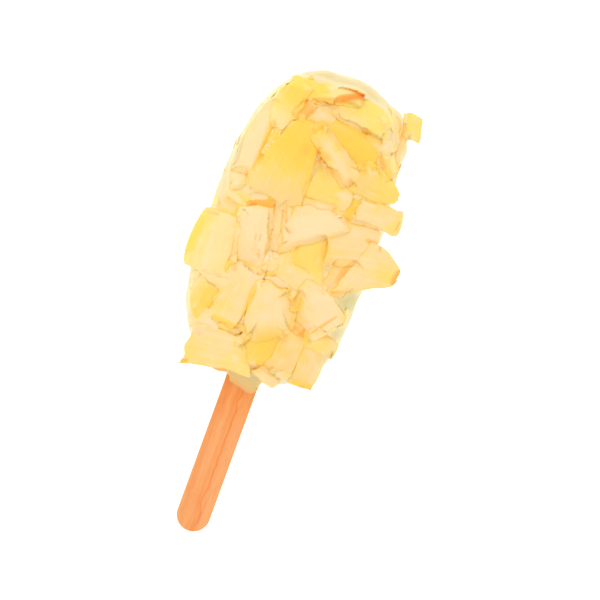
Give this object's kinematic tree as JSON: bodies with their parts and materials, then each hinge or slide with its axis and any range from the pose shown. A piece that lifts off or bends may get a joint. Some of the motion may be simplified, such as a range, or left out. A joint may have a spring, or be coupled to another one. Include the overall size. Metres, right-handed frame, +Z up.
{
  "type": "ice lolly",
  "caption": "Ice lolly lying on its back: a rounded bar in a pale coating, covered in broad thin coconut flakes, on a flat wooden stick.",
  "frame": {"origin": "middle of the box round the whole lolly, on the surface that it lies on", "axes": "+Y along the bar to its rounded tip, with the stick towards -Y; +X to the right seen from above; +Z up, out of the shown front"},
  "size_m": [0.062, 0.1426, 0.0316],
  "materials": {
    "coating": "pale cream coating, satin",
    "wood": "plain birch, unvarnished, a little damp at the bar",
    "flake_pale": "pale cream coconut flake, satin",
    "flake_golden": "golden yellow coconut flake, satin",
    "flake_peach": "peach coconut flake, satin",
    "flake_skin": "orange-brown skin edge of a flake, matt"
  },
  "bodies": {
    "root": {"backLeft_flake_01": "flake_pale", "backLeft_flake_02": "flake_peach", "backLeft_flake_03": "flake_golden", "backRight_flake_01": "flake_pale", "backRight_flake_02": "flake_golden", "backRight_flake_03": "flake_peach", "back_flake_01": "flake_pale", "back_flake_02": "flake_golden", "back_flake_03": "flake_peach", "back_flake_04": "flake_pale", "back_flake_05": "flake_golden", "back_flake_06": "flake_peach", "back_flake_07": "flake_pale", "back_flake_08": "flake_golden", "back_flake_09": "flake_pale", "back_flake_10": "flake_pale", "back_flake_11": "flake_pale", "coated_bar": "coating", "front_flake_01": "flake_peach", "front_flake_02": "flake_golden", "front_flake_03": "flake_golden", "front_flake_04": "flake_peach", "front_flake_05": "flake_golden", "front_flake_06": "flake_peach", "front_flake_07": "flake_golden", "front_flake_08": "flake_golden", "front_flake_09": "flake_peach", "front_flake_10": "flake_pale", "front_flake_11": "flake_pale", "front_flake_12": "flake_golden", "front_flake_13": "flake_pale", "front_flake_14": "flake_pale", "front_flake_15": "flake_golden", "front_flake_16": "flake_golden", "front_flake_17": "flake_pale", "front_flake_18": "flake_pale", "front_flake_19": "flake_pale", "front_flake_20": "flake_pale", "front_flake_21": "flake_pale", "front_flake_22": "flake_golden", "front_flake_23": "flake_peach", "front_flake_24": "flake_skin", "front_flake_25": "flake_skin", "front_flake_26": "flake_golden", "front_flake_27": "flake_pale", "front_flake_28": "flake_golden", "front_flake_29": "flake_pale", "front_flake_30": "flake_peach", "front_flake_31": "flake_golden", "front_flake_32": "flake_golden", "front_flake_33": "flake_golden", "front_flake_34": "flake_golden", "front_flake_35": "flake_pale", "front_flake_36": "flake_pale", "front_flake_37": "flake_pale", "front_flake_38": "flake_pale", "front_flake_39": "flake_pale", "front_flake_40": "flake_pale", "front_flake_41": "flake_pale", "stick": "wood"}
  },
  "joints": []
}
